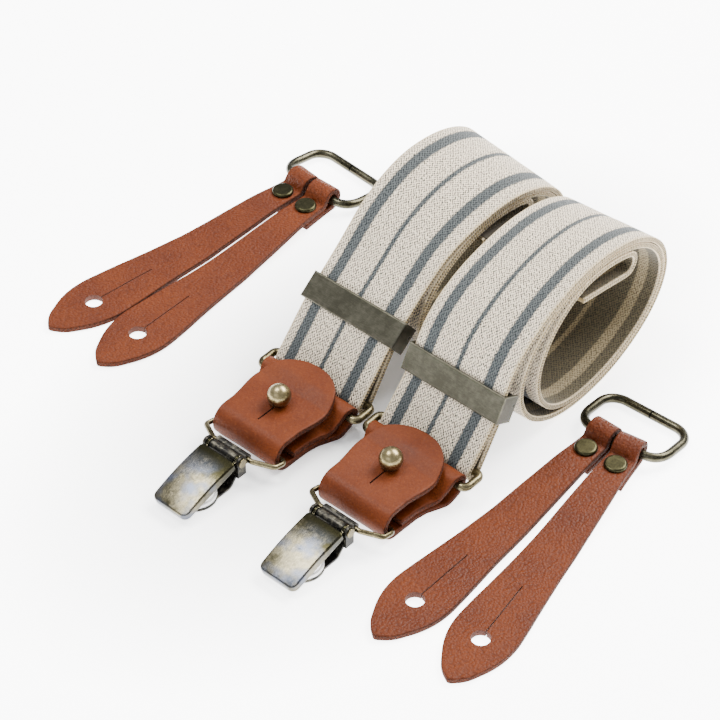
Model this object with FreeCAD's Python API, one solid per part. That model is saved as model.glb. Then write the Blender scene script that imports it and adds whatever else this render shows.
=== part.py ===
"""Clip-end suspenders, rolled up, with two spare pairs of leather button loops.

Two elastic straps lie rolled side by side. Each strap end passes through a metal slide and round
a wire ring; a leather tab hangs on the ring and buttons over a ball stud; the tab's front fold
carries a wire bail with a sprung metal clip. Two D-rings with a pair of button loops each lie
beside the straps and can take the place of the clips.

Millimetres. X runs across the straps, Y from the clips to the rolls, Z is up, z = 0 is the table.
"""

import FreeCAD, Part
import math
import os

# ---- Driving dimensions -------------------------------------------------------------------------
STRAP_WIDTH = 35.0
STRAP_THICK = 1.7
LAYER_GAP = 0.3            # air between neighbouring turns of a roll
ROLL_TURN_STEP = STRAP_THICK + LAYER_GAP
TABLE_GAP = 0.05
ROLL_SHEAR = 0.1           # the roll leans towards its rear as it rises
ROLL_END_ANGLE = 60.0      # where the innermost turn leaves the roof of the roll
HAIRPIN_TURN = 168.0
TAIL_LENGTH = 21.0

LEATHER_THICK = 2.0        # clip tabs
LOOP_LEATHER = 2.2         # spare button loops

RING_WIRE_R = 1.3          # wire ring between strap and tab
RING_BAR_GAP = 7.5         # between the ring's two long bars, centre to centre
RING_REAR_Y = -19.5
RING_Z = 7.0
RING_SIDE_GAP = 0.6        # strap edge to the start of the ring's corner
RING_CORNER_R = 1.8
LOOP_PLAY = 0.3            # strap or leather round a wire

TAB_FRONT_WIDTH = 26.0
TAB_REAR_WIDTH = 35.6
TAB_FOLD_Y = -50.0
TAB_FOLD_R = 4.7           # centre of the leather's thickness in the front fold
TAB_INNER_END_Y = -47.5    # front end of the hidden layer that holds the stud
TAB_LAYER_GAP = 0.3
TAB_STRAIGHT_END_Y = -44.0  # the lower layers flare from here to the ring
CUT_TOP = 30.0             # cuts through everything reach this high
TONGUE_END_Y = -21.2
TONGUE_ROUND_R = 14.3
STUD_BALL_R = 3.75
STUD_BALL_CUT = 2.9        # ball centre down to its flat seat
STUD_NECK_R = 1.6
STUD_HOLE_PLAY = 0.6
STUD_SCREW_R = 1.0
SCREW_HEAD_R = 2.4
SCREW_HEAD_THICK = 0.6
KEY_SLIT = 9.5
KEY_SLIT_WIDTH = 0.35

SLIDE_LENGTH = 9.0
SLIDE_SHEET = 0.8
SLIDE_EDGE_R = 0.5
SLIDE_PLAY = 0.35
SLIDE_SIDE_GAP = 0.45
SLIDE_BAR_R = 0.7
SLIDE_TRAVEL = 3.0
CLAMP_PIVOT_R = 0.6
RUNNING_PLAY = 0.05        # radial clearance of every hinge pin

BAIL_WIRE_R = 0.85
BAIL_PLAY = 0.157          # between the bail's wide bar and the leather fold round it
BAIL_SEAT_DEG = 15.07      # the wide bar sits this far below the middle of the fold
BAIL_HALF_WIDE = 14.2
BAIL_HALF_NARROW = 7.9
BAIL_REACH = 8.15
BAIL_SHOULDER = 4.7
BAIL_RISE_DEG = 14.2
BAIL_CORNER_R = 1.6

CLIP_SHEET = 0.8
CLIP_WIDTH = 14.0
LID_LENGTH = 23.0
LID_SLOPE_DEG = 16.0
LID_CROWN = 0.9            # rise of the lid's middle over its ends
LID_EDGE_R = 0.6
LID_FLANGE = 1.5
PIN_R = 0.8
PIN_Y = -63.9
PIN_Z = 8.6
PIN_HEAD_R = 1.5
PAD_R = 6.6
PAD_Y = -77.0
PAD_THICK = 1.1
JAW_GAP = 0.3

SPARE_WIRE_R = 1.5
SPARE_RING_HALF = 15.0     # half width, wire centre to wire centre
SPARE_RING_DEPTH = 19.0
SPARE_RING_CORNER_R = 6.0
SPARE_RING_BOW_R = 62.0    # gentle bow of the side that the loops hang on
SPARE_RING_BOW_HALF = 10.0
SPARE_RING_PLAY = 0.55

BUTTON_LOOP_LENGTH = 110.0
BUTTON_HOLE_R = 2.9
BUTTON_HOLE_AT = 18.2      # from the tip
BUTTON_SLIT_END = 41.7
RIVET_FROM_END = 12.9
LOOP_END_LAP = 5.0         # leather past the rivet's middle
LOOP_DESCENT_DEG = 5.0     # slope from the doubled leather down to the table
LOOP_DESCENT_R = 60.0
RIVET_CAP_R = 3.6
RIVET_CAP_HEIGHT = 1.2
RIVET_RIM_R = 0.8
RIVET_POST_R = 1.5
RIVET_BASE_R = 3.0
RIVET_BASE_THICK = 0.6
LOOP_WIDTHS = [            # distance from the tip, width
    (2.0, 5.4),
    (8.0, 13.6),
    (14.0, 18.4),
    (20.0, 20.3),
    (28.0, 19.6),
    (35.0, 18.2),
    (45.0, 16.2),
    (BUTTON_LOOP_LENGTH - 45.0, 13.4),
    (BUTTON_LOOP_LENGTH - 25.0, 10.9),
    (BUTTON_LOOP_LENGTH - 13.0, 9.2),
    (BUTTON_LOOP_LENGTH, 8.4),
]

PATCH_THICK = 2.0          # leather patch that joins the straps' inner ends
PATCH_DEPTH = 14.0
PATCH_SETBACK = 1.5        # from the straps' ends
PATCH_GAP = 0.1
PATCH_ON_STRAP = 20.0

STRAP_LEFT_X = 2.4
STRAP_SIDE_GAP = 8.1       # between the two straps
STRAP_RIGHT_X = STRAP_LEFT_X + STRAP_WIDTH + STRAP_SIDE_GAP
SIDES = {                  # each strap: its centre, its roll and the middle of its slide
    "left": dict(
        x=STRAP_LEFT_X, roll_y=40.0, front=36.0, rear=37.0, height=49.5, front_slack=0.5,
        hairpin=3.1, slide=(-4.8, 25.5), stud_y=-39.6,
    ),
    "right": dict(
        x=STRAP_RIGHT_X, roll_y=33.9, front=39.75, rear=39.75, height=51.5, front_slack=6.0,
        hairpin=3.8, slide=(-8.1, 24.7), stud_y=-37.6,
    ),
}
INNER_LOOP_LEFT_X = STRAP_LEFT_X - STRAP_WIDTH / 2 - 44.4
INNER_LOOP_RIGHT_X = STRAP_RIGHT_X + STRAP_WIDTH / 2 + 17.2
LOOP_SPACING = 9.7         # between the two loops on their ring
SPARES = {                 # each spare set: its loops' tips (x, y) and where each meets the ring (x)
    "left": dict(ring_turn=-4.0, loops=[
        ("outer", INNER_LOOP_LEFT_X - 23.5, -55.5, INNER_LOOP_LEFT_X - LOOP_SPACING),
        ("inner", INNER_LOOP_LEFT_X, -57.0, INNER_LOOP_LEFT_X),
    ]),
    "right": dict(ring_turn=2.5, loops=[
        ("inner", INNER_LOOP_RIGHT_X, -85.0, INNER_LOOP_RIGHT_X),
        ("outer", INNER_LOOP_RIGHT_X + 26.3, -83.5, INNER_LOOP_RIGHT_X + LOOP_SPACING),
    ]),
}

X_AXIS = FreeCAD.Vector(1, 0, 0)
Y_AXIS = FreeCAD.Vector(0, 1, 0)
Z_AXIS = FreeCAD.Vector(0, 0, 1)
PARTS = {}


# ---- Helpers ------------------------------------------------------------------------------------
def vec(x, y, z):
    return FreeCAD.Vector(x, y, z)


def unit(degrees):
    """(y, z) of a unit vector that points along a heading in the YZ plane."""
    a = math.radians(degrees)
    return math.cos(a), math.sin(a)


def box(x0, x1, y0, y1, z0, z1):
    return Part.makeBox(x1 - x0, y1 - y0, z1 - z0, vec(x0, y0, z0))


def rod(radius, p, q):
    """Round bar from p to q."""
    return Part.makeCylinder(radius, (q - p).Length, p, q - p)


def smooth_edge(points):
    curve = Part.BSplineCurve()
    curve.interpolate(Points=points)
    return curve.toShape()


def turned(shape, degrees, centre, axis):
    made = shape.copy()
    made.rotate(centre, axis, degrees)
    return made


def filleted_path(points, radii):
    """Closed wire through corners that are rounded by arcs, one radius for each corner."""
    edges, joints = [], []
    count = len(points)
    for i, p in enumerate(points):
        before = (points[i - 1] - p).normalize()
        after = (points[(i + 1) % count] - p).normalize()
        half = before.getAngle(after) / 2
        cut = radii[i] / math.tan(half)
        middle = p + (before + after).normalize() * (radii[i] / math.sin(half) - radii[i])
        joints.append((p + before * cut, middle, p + after * cut))
    for i, (start, middle, end) in enumerate(joints):
        edges.append(Part.Arc(start, middle, end).toShape())
        edges.append(Part.LineSegment(end, joints[(i + 1) % count][0]).toShape())
    return Part.Wire(edges)


def wire_loop(path, radius):
    """Round wire bent along a closed path."""
    first = path.OrderedEdges[1]
    at = first.valueAt(first.FirstParameter)
    along = first.tangentAt(first.FirstParameter)
    section = Part.Wire([Part.Circle(at, along, radius).toShape()])
    start_on_line = Part.Wire(path.OrderedEdges[1:] + path.OrderedEdges[:1])
    return start_on_line.makePipeShell([section], True, False)


class Band:
    """Flat strip seen edge on: a run of straights, arcs and curves in the YZ plane."""

    def __init__(self, start, heading, thickness):
        self.at = start
        self.heading = heading
        self.half = thickness / 2
        self.left = []
        self.right = []
        self.ends = [self.sides()]

    def sides(self):
        """Points on the strip's two faces at its present end."""
        c, s = unit(self.heading)
        y, z = self.at
        return vec(0, y - s * self.half, z + c * self.half), vec(0, y + s * self.half, z - c * self.half)

    def line(self, length):
        before = self.sides()
        c, s = unit(self.heading)
        self.at = (self.at[0] + c * length, self.at[1] + s * length)
        after = self.sides()
        self.left.append(Part.LineSegment(before[0], after[0]).toShape())
        self.right.append(Part.LineSegment(before[1], after[1]).toShape())
        return self

    def arc(self, radius, turn):
        """Bend by turn degrees, positive anticlockwise, at a radius of the strip's middle."""
        side = 1 if turn > 0 else -1
        c, s = unit(self.heading)
        centre = (self.at[0] - s * radius * side, self.at[1] + c * radius * side)
        stages = [self.sides()]
        for _ in range(2):
            self.heading += turn / 2
            c, s = unit(self.heading)
            self.at = (centre[0] + s * radius * side, centre[1] - c * radius * side)
            stages.append(self.sides())
        for edges, k in ((self.left, 0), (self.right, 1)):
            edges.append(Part.Arc(stages[0][k], stages[1][k], stages[2][k]).toShape())
        return self

    def curve(self, points, headings):
        """Smooth run through points with known headings; the first is where the strip now ends."""
        lefts, rights = [], []
        for point, heading in zip(points, headings):
            self.at, self.heading = point, heading
            face = self.sides()
            lefts.append(face[0])
            rights.append(face[1])
        self.left.append(smooth_edge(lefts))
        self.right.append(smooth_edge(rights))
        return self

    def solid(self, x0, x1):
        first, last = self.ends[0], self.sides()
        start = Part.LineSegment(first[1], first[0]).toShape()
        end = Part.LineSegment(last[0], last[1]).toShape()
        outline = Part.Wire([start] + self.left + [end] + self.right[::-1])
        made = Part.Face(outline).extrude(vec(x1 - x0, 0, 0))
        made.translate(vec(x0, 0, 0))
        return made


def plan_prism(half_outline, centre_x, z0, z1):
    """Upright prism whose outline is mirrored about x = centre_x; half_outline holds (half width, y)."""
    right = [vec(centre_x + w, y, z0) for w, y in half_outline]
    left = [vec(centre_x - w, y, z0) for w, y in half_outline]
    edges = [smooth_edge(right), smooth_edge(left)]
    if half_outline[0][0] > 0:
        edges.append(Part.LineSegment(right[0], left[0]).toShape())
    if half_outline[-1][0] > 0:
        edges.append(Part.LineSegment(right[-1], left[-1]).toShape())
    return Part.Face(Part.Wire(Part.__sortEdges__(edges))).extrude(vec(0, 0, z1 - z0))


# ---- Straps -------------------------------------------------------------------------------------
class Roll:
    """Spiral of one strap: an ellipse whose halves shrink by a layer with every turn."""

    def __init__(self, side):
        self.front, self.rear = side["front"], side["rear"]
        self.front_step = ROLL_TURN_STEP + side["front_slack"]
        self.centre_y = side["roll_y"]
        crest_turns, floor_turns = 1 / 6, 2 / 3
        grown = side["height"] - STRAP_THICK + ROLL_TURN_STEP * (crest_turns + floor_turns)
        self.half_height = grown / 2
        self.centre_z = STRAP_THICK / 2 + self.half_height - ROLL_TURN_STEP * floor_turns + TABLE_GAP
        self.start_angle = self.tangent_from(side["slide"])

    def point(self, angle, start=150.0):
        """Middle of the strap at an angle that falls from the slide, over the crest, round and round."""
        turns = (start - angle) / 360
        c, s = unit(angle)
        half_length = self.rear - ROLL_TURN_STEP * turns
        if c < 0:
            half_length = self.front - self.front_step * turns
        z = self.centre_z + s * (self.half_height - ROLL_TURN_STEP * turns)
        y = self.centre_y + c * half_length + ROLL_SHEAR * (z - self.centre_z)
        return y, z

    def heading(self, angle):
        ahead, behind = self.point(angle - 0.5), self.point(angle + 0.5)
        return math.degrees(math.atan2(ahead[1] - behind[1], ahead[0] - behind[0]))

    def tangent_from(self, outside):
        """Angle at which a straight strap that comes from a point outside meets the roll smoothly."""
        low, high = 100.0, 178.0
        for _ in range(50):
            middle = (low + high) / 2
            y, z = self.point(middle)
            aim = math.degrees(math.atan2(z - outside[1], y - outside[0]))
            if aim > self.heading(middle):
                low = middle
            else:
                high = middle
        return middle


def slide_slope(side):
    roll = Roll(side)
    return roll.heading(roll.start_angle)


def ring_tangent(outside, offset):
    """Heading of the line that comes from the top of the ring's rear bar to a point outside."""
    dy, dz = outside[0] - RING_REAR_Y, outside[1] - RING_Z
    return math.degrees(math.atan2(dz, dy) - math.asin(offset / math.hypot(dy, dz)))


def make_strap(side):
    roll = Roll(side)
    slope = roll.heading(roll.start_angle)
    wrap_r = RING_WIRE_R + LOOP_PLAY + STRAP_THICK / 2
    c, s = unit(slope)
    below = SLIDE_LENGTH / 2 + 0.5
    slide_exit = (side["slide"][0] - c * below, side["slide"][1] - s * below)
    rise = ring_tangent(slide_exit, wrap_r)
    # The tail lies behind the outer run and wraps the ring's rear bar from behind.
    rc, rs = unit(rise)
    top = (RING_REAR_Y - rs * wrap_r, RING_Z + rc * wrap_r)
    outer_run = math.hypot(slide_exit[0] - top[0], slide_exit[1] - top[1])
    tail_back = 2 * wrap_r - STRAP_THICK - LAYER_GAP
    pinch = math.degrees(math.atan2(tail_back, outer_run))
    start_heading = rise + 180 + pinch
    pc, ps = unit(rise + pinch)
    wrap_end = (RING_REAR_Y + ps * wrap_r, RING_Z - pc * wrap_r)
    tail_start = (wrap_end[0] + pc * outer_run, wrap_end[1] + ps * outer_run)
    band = Band(tail_start, start_heading, STRAP_THICK)
    band.line(outer_run)
    band.arc(wrap_r, -180 - pinch)
    band.line(outer_run - 2.0)
    bend = slope - band.heading % 360
    bend_r = 2.0 / math.tan(math.radians(abs(bend) / 2))
    band.arc(bend_r, bend)
    to_roll = math.hypot(
        roll.point(roll.start_angle)[0] - band.at[0], roll.point(roll.start_angle)[1] - band.at[1]
    )
    band.line(to_roll)
    steps = 60
    last = ROLL_END_ANGLE - 720
    angles = [roll.start_angle + (last - roll.start_angle) * i / steps for i in range(steps + 1)]
    band.curve([roll.point(a) for a in angles], [roll.heading(a) for a in angles])
    band.arc(side["hairpin"], -HAIRPIN_TURN)
    band.line(TAIL_LENGTH)
    half = STRAP_WIDTH / 2
    return band.solid(side["x"] - half, side["x"] + half), band


# ---- Slides -------------------------------------------------------------------------------------
def place_on_strap(shape, side):
    """Moves a shape from the slide's own frame (y up the strap, z out of it) to its place."""
    made = turned(shape, slide_slope(side), vec(0, 0, 0), X_AXIS)
    made.translate(vec(side["x"], side["slide"][0], side["slide"][1]))
    return made


SLIDE_INNER_HALF = STRAP_WIDTH / 2 + SLIDE_SIDE_GAP
SLIDE_OUTER_HALF = SLIDE_INNER_HALF + SLIDE_SHEET
SLIDE_TOP = STRAP_THICK / 2 + SLIDE_PLAY
SLIDE_FLOOR = -(STRAP_THICK / 2 + LAYER_GAP + STRAP_THICK + SLIDE_PLAY)
CLAMP_BARREL_R = CLAMP_PIVOT_R + 0.2
CLAMP_Z = SLIDE_FLOOR - CLAMP_BARREL_R - 0.15
CLAMP_Y = 1.2
SLIDE_BAR_Y = SLIDE_LENGTH / 2 - SLIDE_BAR_R - 0.3


def make_slide_cover(side):
    half_length = SLIDE_LENGTH / 2
    bottom = CLAMP_Z - CLAMP_PIVOT_R - 0.5
    top = SLIDE_TOP + SLIDE_SHEET
    outer = box(-SLIDE_OUTER_HALF, SLIDE_OUTER_HALF, -half_length, half_length, bottom, top)
    outer = outer.makeFillet(SLIDE_EDGE_R, [e for e in outer.Edges if abs(e.CenterOfMass.z - top) < 1e-6])
    cut_half = half_length + 1
    inner = box(-SLIDE_INNER_HALF, SLIDE_INNER_HALF, -cut_half, cut_half, bottom - 1, SLIDE_TOP)
    pivot = rod(CLAMP_PIVOT_R + RUNNING_PLAY, vec(-30, CLAMP_Y, CLAMP_Z), vec(30, CLAMP_Y, CLAMP_Z))
    return place_on_strap(outer.cut(inner).cut(pivot), side)


def make_slide_bar(side):
    y, z = SLIDE_BAR_Y, SLIDE_FLOOR - SLIDE_BAR_R - 0.1
    return place_on_strap(rod(SLIDE_BAR_R, vec(-SLIDE_INNER_HALF, y, z), vec(SLIDE_INNER_HALF, y, z)), side)


def make_slide_clamp(side):
    reach = SLIDE_INNER_HALF - 0.35
    barrel = rod(CLAMP_BARREL_R, vec(-reach, CLAMP_Y, CLAMP_Z), vec(reach, CLAMP_Y, CLAMP_Z))
    stub_end = SLIDE_OUTER_HALF - 0.1
    stubs = rod(CLAMP_PIVOT_R, vec(-stub_end, CLAMP_Y, CLAMP_Z), vec(stub_end, CLAMP_Y, CLAMP_Z))
    top = CLAMP_Z + CLAMP_BARREL_R
    flap = box(-reach, reach, -SLIDE_LENGTH / 2 + 0.2, CLAMP_Y, top - 0.7, top)
    return place_on_strap(barrel.fuse([stubs, flap]).removeSplitter(), side)


# ---- Wire rings and leather tabs ------------------------------------------------------------------
RING_HALF = STRAP_WIDTH / 2 + RING_SIDE_GAP + RING_CORNER_R
RING_FRONT_Y = RING_REAR_Y - RING_BAR_GAP


def make_ring(side):
    x = side["x"]
    corners = [
        vec(x + RING_HALF, RING_REAR_Y, RING_Z),
        vec(x - RING_HALF, RING_REAR_Y, RING_Z),
        vec(x - RING_HALF, RING_FRONT_Y, RING_Z),
        vec(x + RING_HALF, RING_FRONT_Y, RING_Z),
    ]
    return wire_loop(filleted_path(corners, [RING_CORNER_R] * 4), RING_WIRE_R)


TAB_BOTTOM_Z = LEATHER_THICK / 2
TAB_INNER_Z = TAB_BOTTOM_Z + LEATHER_THICK + TAB_LAYER_GAP
TONGUE_Z = TAB_BOTTOM_Z + 2 * TAB_FOLD_R
TONGUE_TOP = TONGUE_Z + LEATHER_THICK / 2
STUD_SEAT_Z = TONGUE_TOP + 0.2
STUD_BALL_Z = STUD_SEAT_Z + STUD_BALL_CUT


def tab_lower(x):
    """Hidden stud layer, fold round the ring's front bar, bottom layer and half of the front fold."""
    wrap_r = RING_WIRE_R + LOOP_PLAY + LEATHER_THICK / 2
    climb, climb_r, drop, drop_r = 50.0, 3.5, 40.0, 4.0
    cc, cs = unit(climb)
    wrap_start = (RING_FRONT_Y - cs * wrap_r, RING_Z + cc * wrap_r)
    climb_line = (wrap_start[1] - TAB_INNER_Z - climb_r * (1 - cc)) / cs
    inner_flat_end = wrap_start[0] - cc * climb_line - climb_r * cs
    dc, ds = unit(drop)
    wrap_end = (RING_FRONT_Y + ds * wrap_r, RING_Z - dc * wrap_r)
    drop_line = (wrap_end[1] - TAB_BOTTOM_Z - drop_r * (1 - dc)) / ds
    bottom_start = wrap_end[0] - dc * drop_line - drop_r * ds
    band = Band((TAB_INNER_END_Y, TAB_INNER_Z), 0.0, LEATHER_THICK)
    band.line(inner_flat_end - TAB_INNER_END_Y)
    band.arc(climb_r, climb)
    band.line(climb_line)
    band.arc(wrap_r, -180 - climb + drop)
    band.line(drop_line)
    band.arc(drop_r, -drop)
    band.line(bottom_start - TAB_FOLD_Y)
    band.arc(TAB_FOLD_R, -90.0)
    return band.solid(x - TAB_REAR_WIDTH, x + TAB_REAR_WIDTH)


def tab_tongue(x):
    """The other half of the front fold and the tongue that buttons over the stud."""
    lift, lift_r, lifted = 20.0, 6.0, 1.9
    lc, ls = unit(lift)
    lift_line = (lifted - 2 * lift_r * (1 - lc)) / ls
    flat = 15.5
    band = Band((TAB_FOLD_Y - TAB_FOLD_R, TAB_BOTTOM_Z + TAB_FOLD_R), 90.0, LEATHER_THICK)
    band.arc(TAB_FOLD_R, -90.0)
    band.line(flat)
    band.arc(lift_r, lift)
    band.line(lift_line)
    band.arc(lift_r, -lift)
    band.line(TONGUE_END_Y + 2 - band.at[0])
    return band.solid(x - TAB_REAR_WIDTH, x + TAB_REAR_WIDTH)


def make_tab(side):
    x = side["x"]
    front, rear = TAB_FRONT_WIDTH / 2, TAB_REAR_WIDTH / 2
    front_y = TAB_FOLD_Y - TAB_FOLD_R - LEATHER_THICK
    flare = [
        (front, TAB_STRAIGHT_END_Y),
        (front + 0.6, TAB_STRAIGHT_END_Y + 6.0),
        (rear - 1.6, RING_FRONT_Y - 3.5),
        (rear, RING_FRONT_Y + 1.0),
        (rear, RING_FRONT_Y + 5.0),
    ]
    straight = box(x - front, x + front, front_y, TAB_STRAIGHT_END_Y, -1, CUT_TOP)
    lower_plan = plan_prism(flare, x, -1, CUT_TOP).fuse(straight)
    lower = tab_lower(x).common(lower_plan)
    round_y = TONGUE_END_Y - TONGUE_ROUND_R
    disc = Part.makeCylinder(TONGUE_ROUND_R, CUT_TOP, vec(x, round_y, -1), Z_AXIS)
    tongue_plan = disc.fuse(box(x - front, x + front, front_y, round_y - 2.0, -1, CUT_TOP - 1))
    upper = tab_tongue(x).common(tongue_plan)
    stud_y = side["stud_y"]
    hole = Part.makeCylinder(STUD_NECK_R + STUD_HOLE_PLAY, 10, vec(x, stud_y, TONGUE_Z - 5), Z_AXIS)
    slit_half = KEY_SLIT_WIDTH / 2
    slit = box(x - slit_half, x + slit_half, stud_y - KEY_SLIT, stud_y, TONGUE_Z - 5, TONGUE_TOP + 5)
    screw = Part.makeCylinder(STUD_SCREW_R, TONGUE_Z - 3, vec(x, stud_y, -1), Z_AXIS)
    head = Part.makeCylinder(SCREW_HEAD_R, SCREW_HEAD_THICK + 1, vec(x, stud_y, -1), Z_AXIS)
    return lower.cut(screw).cut(head).fuse(upper.cut(hole).cut(slit)).removeSplitter()


def make_stud_ball(side):
    """Ball with a neck that stands on the hidden stud layer."""
    x, y = side["x"], side["stud_y"]
    ball = Part.makeSphere(STUD_BALL_R, vec(x, y, STUD_BALL_Z))
    ball = ball.cut(box(x - 5, x + 5, y - 5, y + 5, STUD_BALL_Z - 6, STUD_SEAT_Z))
    foot_z = TAB_INNER_Z + LEATHER_THICK / 2
    neck = Part.makeCylinder(STUD_NECK_R, STUD_SEAT_Z - foot_z, vec(x, y, foot_z), Z_AXIS)
    flange = Part.makeCylinder(STUD_NECK_R + 0.5, 0.8, vec(x, y, foot_z), Z_AXIS)
    return ball.fuse([neck, flange]).removeSplitter()


def make_stud_screw(side):
    x, y = side["x"], side["stud_y"]
    shank = Part.makeCylinder(STUD_SCREW_R, TAB_INNER_Z + LEATHER_THICK / 2, vec(x, y, 0), Z_AXIS)
    head = Part.makeCylinder(SCREW_HEAD_R, SCREW_HEAD_THICK, vec(x, y, 0), Z_AXIS)
    return shank.fuse(head).removeSplitter()


# ---- Bails and clips ------------------------------------------------------------------------------
BAIL_SEAT_R = TAB_FOLD_R - LEATHER_THICK / 2 - BAIL_WIRE_R - BAIL_PLAY
BAIL_WIDE_Y = TAB_FOLD_Y - BAIL_SEAT_R * math.cos(math.radians(BAIL_SEAT_DEG))
BAIL_WIDE_Z = LEATHER_THICK / 2 + TAB_FOLD_R - BAIL_SEAT_R * math.sin(math.radians(BAIL_SEAT_DEG))
BAIL_NARROW_Y = BAIL_WIDE_Y - BAIL_REACH * math.cos(math.radians(BAIL_RISE_DEG))
BAIL_NARROW_Z = BAIL_WIDE_Z + BAIL_REACH * math.sin(math.radians(BAIL_RISE_DEG))


def make_bail(side):
    x = side["x"]
    y, z = BAIL_WIDE_Y, BAIL_WIDE_Z
    half = [(BAIL_HALF_WIDE, 0.0), (BAIL_HALF_WIDE, -BAIL_SHOULDER), (BAIL_HALF_NARROW, -BAIL_REACH)]
    corners = [vec(x + w, y + d, z) for w, d in half]
    corners += [vec(x - w, y + d, z) for w, d in reversed(half)]
    radii = [BAIL_CORNER_R, BAIL_CORNER_R, BAIL_WIRE_R + 0.3] * 2
    radii = radii[:3] + radii[:3][::-1]
    loop = wire_loop(filleted_path(corners, radii), BAIL_WIRE_R)
    return turned(loop, -BAIL_RISE_DEG, vec(x, y, z), X_AXIS)


EAR_R = 2.0
LEG_FRONT = 1.8
LEG_REAR = 1.6
BRIDGE_Z = 3.2
EAR_INNER = CLIP_WIDTH / 2 - 0.6
EAR_OUTER = EAR_INNER + CLIP_SHEET
LUG_OUTER = EAR_INNER - 0.3
LUG_INNER = LUG_OUTER - CLIP_SHEET
CURL_HALF = BAIL_HALF_NARROW - 1.8
CURL_R = BAIL_WIRE_R + RUNNING_PLAY + CLIP_SHEET / 2
LOWER_PLATE_Z = CLIP_SHEET / 2
DISC_TOP = CLIP_SHEET
PAD_TOP = DISC_TOP + PAD_THICK
UPPER_PAD_TOP = PAD_TOP + JAW_GAP + PAD_THICK


def frame_strip(x, half):
    """Lower jaw arm, rear cross plate and the curl that holds the bail, as one bent strip."""
    flat, bend_r, curl_turn = 8.0, 2.0, 250.0
    bend_centre = (PAD_Y + flat, LOWER_PLATE_Z + bend_r)
    dy, dz = BAIL_NARROW_Y - bend_centre[0], BAIL_NARROW_Z - bend_centre[1]
    reach = math.hypot(dy, dz)
    crossing = math.asin((bend_r + CURL_R) / reach)
    band = Band((PAD_Y, LOWER_PLATE_Z), 0.0, CLIP_SHEET)
    band.line(flat)
    band.arc(bend_r, math.degrees(math.atan2(dz, dy) + crossing))
    band.line(reach * math.cos(crossing))
    band.arc(CURL_R, -curl_turn)
    return band.solid(x - half, x + half)


def make_clip_frame(side):
    x = side["x"]
    strip = frame_strip(x, CURL_HALF)
    disc = Part.makeCylinder(PAD_R + 0.3, CLIP_SHEET, vec(x, PAD_Y, 0), Z_AXIS)
    ears = []
    for sign in (-1, 1):
        near, far = sorted((x + sign * EAR_INNER, x + sign * EAR_OUTER))
        ear = Part.makeCylinder(EAR_R, far - near, vec(near, PIN_Y, PIN_Z), X_AXIS)
        leg = box(near, far, PIN_Y - LEG_FRONT, PIN_Y + LEG_REAR, BRIDGE_Z, PIN_Z)
        ears.append(ear.fuse(leg))
    bridge = box(
        x - EAR_OUTER, x + EAR_OUTER, PIN_Y - LEG_FRONT, PIN_Y + LEG_REAR, BRIDGE_Z, BRIDGE_Z + CLIP_SHEET
    )
    made = strip.fuse([disc, bridge] + ears).removeSplitter()
    window = box(x - 1.3, x + 1.3, BAIL_NARROW_Y - 3.4, BAIL_NARROW_Y - 1.9, 4, 12)
    return made.cut(window).cut(rod(PIN_R, vec(x - 20, PIN_Y, PIN_Z), vec(x + 20, PIN_Y, PIN_Z)))


def make_clip_pin(side):
    x = side["x"]
    end = EAR_OUTER + 0.5
    pin = rod(PIN_R, vec(x - end, PIN_Y, PIN_Z), vec(x + end, PIN_Y, PIN_Z))
    heads = []
    for sign in (-1, 1):
        near, far = sorted((x + sign * EAR_OUTER, x + sign * end))
        heads.append(Part.makeCylinder(PIN_HEAD_R, far - near, vec(near, PIN_Y, PIN_Z), X_AXIS))
    return pin.fuse(heads).removeSplitter()


LID_REAR_Y = PIN_Y - EAR_R - 0.8
LID_REAR_Z = PIN_Z + 2.1


def make_clip_lid(side):
    """Sprung lever: a crowned cover with turned-down sides and two hinge lugs."""
    x = side["x"]
    half = CLIP_WIDTH / 2
    plan = filleted_path(
        [vec(-half, -LID_LENGTH, 0), vec(half, -LID_LENGTH, 0), vec(half, 0, 0), vec(-half, 0, 0)],
        [2.2, 2.2, 1.2, 1.2],
    )
    height = LID_FLANGE + CLIP_SHEET + LID_CROWN
    crown_r = ((LID_LENGTH / 2) ** 2 + LID_CROWN ** 2) / (2 * LID_CROWN)
    crown_centre = vec(0, -LID_LENGTH / 2, -crown_r)
    prism = Part.Face(plan).extrude(vec(0, 0, 2 * height))
    prism.translate(vec(0, 0, -height))
    blank = prism.common(Part.makeSphere(crown_r, crown_centre))
    rim = [e for e in blank.Edges if e.BoundBox.ZMin > -height + 0.1 and e.BoundBox.ZLength < LID_CROWN]
    blank = blank.makeFillet(LID_EDGE_R, rim)
    inner = filleted_path(
        [
            vec(-half + CLIP_SHEET, -LID_LENGTH + CLIP_SHEET, -height - 1),
            vec(half - CLIP_SHEET, -LID_LENGTH + CLIP_SHEET, -height - 1),
            vec(half - CLIP_SHEET, 3, -height - 1),
            vec(-half + CLIP_SHEET, 3, -height - 1),
        ],
        [1.4, 1.4, 0.5, 0.5],
    )
    hollow = Part.Face(inner).extrude(vec(0, 0, 2 * height))
    hollow = hollow.common(Part.makeSphere(crown_r - CLIP_SHEET, crown_centre))
    shell = blank.cut(hollow)
    shell = turned(shell, LID_SLOPE_DEG, vec(0, 0, 0), X_AXIS)
    shell.translate(vec(x, LID_REAR_Y, LID_REAR_Z + LID_CROWN / 2))
    lugs = []
    for sign in (-1, 1):
        near, far = sorted((x + sign * LUG_INNER, x + sign * LUG_OUTER))
        lug = Part.makeCylinder(PIN_R + 1.0, far - near, vec(near, PIN_Y, PIN_Z), X_AXIS)
        top = LID_REAR_Z - 0.9
        web = box(near, far, PIN_Y - 4.5, PIN_Y, PIN_Z - 0.6, top - 0.6)
        lugs.append(lug.fuse(web))
    made = shell.fuse(lugs).removeSplitter()
    return made.cut(rod(PIN_R + RUNNING_PLAY, vec(x - 20, PIN_Y, PIN_Z), vec(x + 20, PIN_Y, PIN_Z)))


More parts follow.
